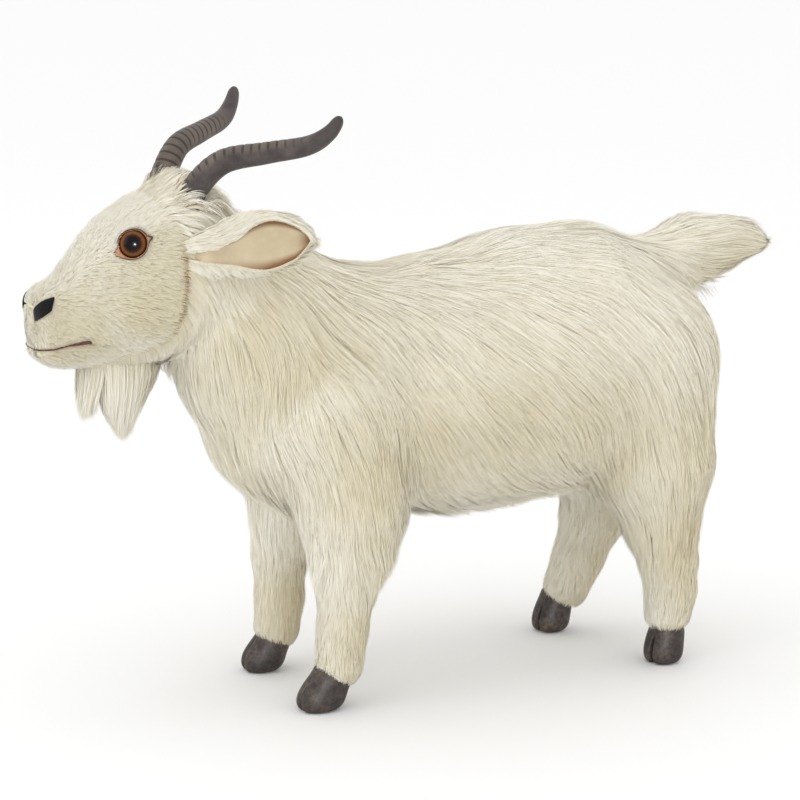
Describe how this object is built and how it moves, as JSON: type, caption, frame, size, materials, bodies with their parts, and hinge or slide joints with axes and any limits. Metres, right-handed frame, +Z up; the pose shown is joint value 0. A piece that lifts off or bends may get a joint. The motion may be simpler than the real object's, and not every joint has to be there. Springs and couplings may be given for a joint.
{
  "type": "plush toy goat",
  "caption": "Standing long-haired white plush goat with curved horns, drooping ears, beard, raised tail and cloven hooves on a bendable wire frame.",
  "frame": {"origin": "on the floor under the middle of the whole toy", "axes": "+Z up, the goat faces -Y, its left side is +X"},
  "size_m": [0.18, 0.5239, 0.3817],
  "materials": {
    "long_pile": "long combed white plush pile on a knitted backing",
    "short_pile": "short dense cream plush",
    "ear_lining": "short beige plush with an airbrushed brown rim",
    "fill": "polyester fibre fill",
    "wire": "annealed steel wire",
    "horn": "dark suede cloth with airbrushed rings",
    "eye": "clear dome over a painted brown iris",
    "washer": "moulded lock washer",
    "eyelid": "tan thin leather",
    "nostril": "black felt",
    "thread": "dark brown thread",
    "hoof": "mottled dark vinyl"
  },
  "bodies": {
    "trunk": {"trunk_cover": "long_pile", "trunk_stuffing": "fill", "spine_wire": "wire", "front_cross_wire": "wire", "hind_cross_wire": "wire"},
    "head": {"head_cover": "short_pile", "head_stuffing": "fill", "left_eye": "eye", "right_eye": "eye", "eye_washers": "washer", "left_eyelid": "eyelid", "right_eyelid": "eyelid", "nostril_patches": "nostril", "mouth_thread": "thread", "left_horn": "horn", "right_horn": "horn", "left_horn_stuffing": "fill", "right_horn_stuffing": "fill"},
    "left_ear": {"left_ear_cover": "short_pile", "left_ear_lining": "ear_lining"},
    "right_ear": {"right_ear_cover": "short_pile", "right_ear_lining": "ear_lining"},
    "beard": {"beard": "long_pile"},
    "tail": {"tail_cover": "long_pile", "tail_stuffing": "fill"},
    "left_front_leg": {"left_front_upper_leg_cover": "long_pile", "left_front_lower_leg_cover": "short_pile", "left_front_leg_stuffing": "fill", "left_front_leg_wire": "wire", "left_front_hoof": "hoof"},
    "right_front_leg": {"right_front_upper_leg_cover": "long_pile", "right_front_lower_leg_cover": "short_pile", "right_front_leg_stuffing": "fill", "right_front_leg_wire": "wire", "right_front_hoof": "hoof"},
    "left_hind_leg": {"left_hind_thigh_cover": "long_pile", "left_hind_lower_leg_cover": "short_pile", "left_hind_leg_stuffing": "fill", "left_hind_leg_wire": "wire", "left_hind_hoof": "hoof"},
    "right_hind_leg": {"right_hind_thigh_cover": "long_pile", "right_hind_lower_leg_cover": "short_pile", "right_hind_leg_stuffing": "fill", "right_hind_leg_wire": "wire", "right_hind_hoof": "hoof"}
  },
  "joints": [
    {"name": "head_turn", "type": "hinge", "parent": "trunk", "child": "head", "pos_m": [0, -0.16, 0.277], "axis": [0, 0, 1], "range_deg": [-18, 18]},
    {"name": "left_ear_flap", "type": "hinge", "parent": "head", "child": "left_ear", "pos_m": [0.04956, -0.17629, 0.3], "axis": [0, 0, 1], "range_deg": [-30, 0], "stiffness_Nm_per_rad": 0.02},
    {"name": "right_ear_flap", "type": "hinge", "parent": "head", "child": "right_ear", "pos_m": [-0.04956, -0.17629, 0.3], "axis": [0, 0, 1], "range_deg": [0, 30], "stiffness_Nm_per_rad": 0.02},
    {"name": "beard_swing", "type": "hinge", "parent": "head", "child": "beard", "pos_m": [0, -0.203, 0.221], "axis": [1, 0, 0], "range_deg": [-10, 10], "stiffness_Nm_per_rad": 0.03},
    {"name": "tail_lift", "type": "hinge", "parent": "trunk", "child": "tail", "pos_m": [0, 0.176, 0.266], "axis": [1, 0, 0], "range_deg": [-20, 30]},
    {"name": "left_front_leg_swing", "type": "hinge", "parent": "trunk", "child": "left_front_leg", "pos_m": [0.046, -0.076, 0.163], "axis": [1, 0, 0], "range_deg": [-12, 12]},
    {"name": "right_front_leg_swing", "type": "hinge", "parent": "trunk", "child": "right_front_leg", "pos_m": [-0.046, -0.076, 0.163], "axis": [1, 0, 0], "range_deg": [-12, 12]},
    {"name": "left_hind_leg_swing", "type": "hinge", "parent": "trunk", "child": "left_hind_leg", "pos_m": [0.047, 0.148, 0.168], "axis": [1, 0, 0], "range_deg": [-12, 12]},
    {"name": "right_hind_leg_swing", "type": "hinge", "parent": "trunk", "child": "right_hind_leg", "pos_m": [-0.047, 0.148, 0.168], "axis": [1, 0, 0], "range_deg": [-12, 12]}
  ]
}
